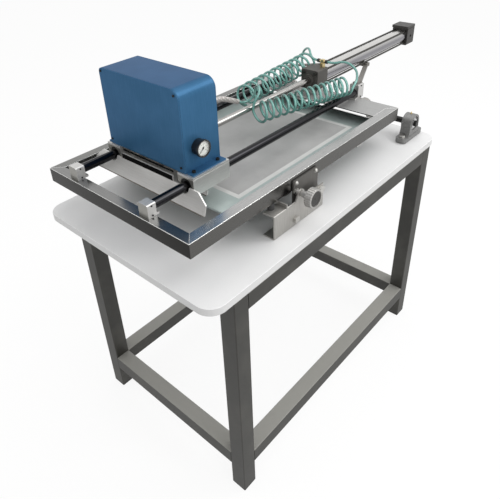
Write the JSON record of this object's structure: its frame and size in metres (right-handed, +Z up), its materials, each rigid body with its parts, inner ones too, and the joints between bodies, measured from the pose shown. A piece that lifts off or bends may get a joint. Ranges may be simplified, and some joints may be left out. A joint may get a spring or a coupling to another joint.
{
  "type": "flatbed screen printer",
  "caption": "Pneumatic flatbed screen printer on a steel table: tilting stencil frame, guide rods, covered print head with squeegee, drive cylinder behind.",
  "frame": {"origin": "on the floor under the middle of the whole machine's bounding box", "axes": "+X to the operator's right, +Y from the operator towards the drive cylinder at the rear, +Z up"},
  "size_m": [0.6624, 1.6172, 1.168],
  "materials": {
    "table_steel": "dark grey powder coat on square tube",
    "foot_plastic": "black moulded cap",
    "board_laminate": "light grey laminate",
    "cast_housing": "grey cast housing",
    "bearing_steel": "ground steel",
    "bolt_steel": "zinc plated",
    "bracket_steel": "bent steel sheet",
    "black_rubber": "matt black",
    "frame_aluminium": "brushed aluminium channel",
    "stencil_border": "satin aluminium",
    "stencil_mesh": "stretched grey screen mesh",
    "dark_plate": "blackened steel",
    "chrome_rod": "hard chromed and ground",
    "block_aluminium": "machined aluminium",
    "cylinder_tube": "anodised tube",
    "cylinder_cap": "dark grey coated die casting",
    "brass_fitting": "plain brass",
    "black_plastic": "black moulding",
    "cover_blue": "steel blue semi-gloss lacquer",
    "dark_screw": "blackened screws",
    "gauge_glass": "clear lens",
    "gauge_black": "black case, chromed ring and printed dial",
    "holder_steel": "bright steel sheet",
    "blade_rubber": "squeegee rubber",
    "hose_teal": "teal polyurethane hose",
    "conduit_silver": "silver grey braided sleeve"
  },
  "bodies": {
    "table": {"table_legs": "table_steel", "foot_caps": "foot_plastic", "table_top_rails": "table_steel", "table_lower_rails": "table_steel", "table_top": "board_laminate", "pillow_blocks": "cast_housing", "pillow_bearing_inserts": "bearing_steel", "pillow_block_bolts": "bolt_steel", "side_bracket_right": "bracket_steel", "side_bracket_left": "bracket_steel", "rest_bumpers": "black_rubber", "bracket_bolts": "bolt_steel"},
    "tilt_frame": {"hinge_shaft": "bearing_steel", "hinge_arms": "block_aluminium", "front_rail": "frame_aluminium", "rear_rail": "frame_aluminium", "left_rail": "frame_aluminium", "right_rail": "frame_aluminium", "stencil_frame": "stencil_border", "stencil_foil": "stencil_mesh", "stencil_clips": "block_aluminium", "lock_plate": "dark_plate", "frame_screws": "dark_screw", "guide_rods": "chrome_rod", "front_rod_blocks": "block_aluminium", "rear_rod_blocks": "block_aluminium", "cylinder_tube": "cylinder_tube", "cylinder_front_cap": "cylinder_cap", "cylinder_rear_cap": "cylinder_cap", "tie_rods": "bearing_steel", "cylinder_front_foot": "block_aluminium", "cylinder_stays": "bracket_steel", "air_fitting": "brass_fitting", "push_in_collars": "black_plastic", "left_air_hose": "hose_teal", "right_air_hose": "hose_teal"},
    "print_head": {"bearing_blocks": "block_aluminium", "linear_bushings": "bearing_steel", "carriage_plate": "block_aluminium", "cover_shell": "cover_blue", "cover_front_panel": "cover_blue", "cover_rear_panel": "cover_blue", "head_screws": "dark_screw", "gauge_case": "gauge_black", "gauge_lens": "gauge_glass", "squeegee_cylinders": "cylinder_tube", "hose_conduit": "conduit_silver", "piston_rod": "chrome_rod", "piston": "black_rubber", "rod_coupler": "bearing_steel"},
    "gauge_pointer": {"gauge_needle": "dark_screw"},
    "squeegee": {"squeegee_holder": "holder_steel", "squeegee_blade": "blade_rubber", "squeegee_lift_rods": "chrome_rod"},
    "flood_bar": {"flood_bar_holder": "holder_steel", "flood_bar_blade": "bearing_steel", "flood_bar_lift_rods": "chrome_rod"},
    "clamp_pad": {"clamp_shoe": "bearing_steel"},
    "clamp_handle": {"clamp_screw": "bearing_steel", "clamp_knob": "black_plastic"}
  },
  "joints": [
    {"name": "frame_tilt", "type": "hinge", "parent": "table", "child": "tilt_frame", "pos_m": [0, 0.2371, 0.8308], "axis": [-1, 0, 0], "range_deg": [0, 60]},
    {"name": "head_travel", "type": "slide", "parent": "tilt_frame", "child": "print_head", "axis": [0, 1, 0], "range_m": [0, 0.48], "deforming": ["left_air_hose", "right_air_hose"]},
    {"name": "gauge_pointer_turn", "type": "hinge", "parent": "print_head", "child": "gauge_pointer", "pos_m": [0.085, -0.5794, 1.013], "axis": [1, 0, 0], "range_deg": [0, 265]},
    {"name": "squeegee_lift", "type": "slide", "parent": "print_head", "child": "squeegee", "axis": [0, 0, -1], "range_m": [0, 0.0057]},
    {"name": "flood_bar_lift", "type": "slide", "parent": "print_head", "child": "flood_bar", "axis": [0, 0, -1], "range_m": [0, 0.0057]},
    {"name": "clamp_turn", "type": "hinge", "parent": "clamp_pad", "child": "clamp_handle", "pos_m": [0.2686, -0.4014, 0.862], "axis": [1, 0, 0], "range_deg": [0, 720]},
    {"name": "clamp_press", "type": "slide", "parent": "table", "child": "clamp_pad", "axis": [1, 0, 0], "range_m": [0, 0.003]}
  ],
  "couplings": [
    {"joint": "clamp_press", "follows": "clamp_turn", "m_per_rad": 0.00023873}
  ]
}
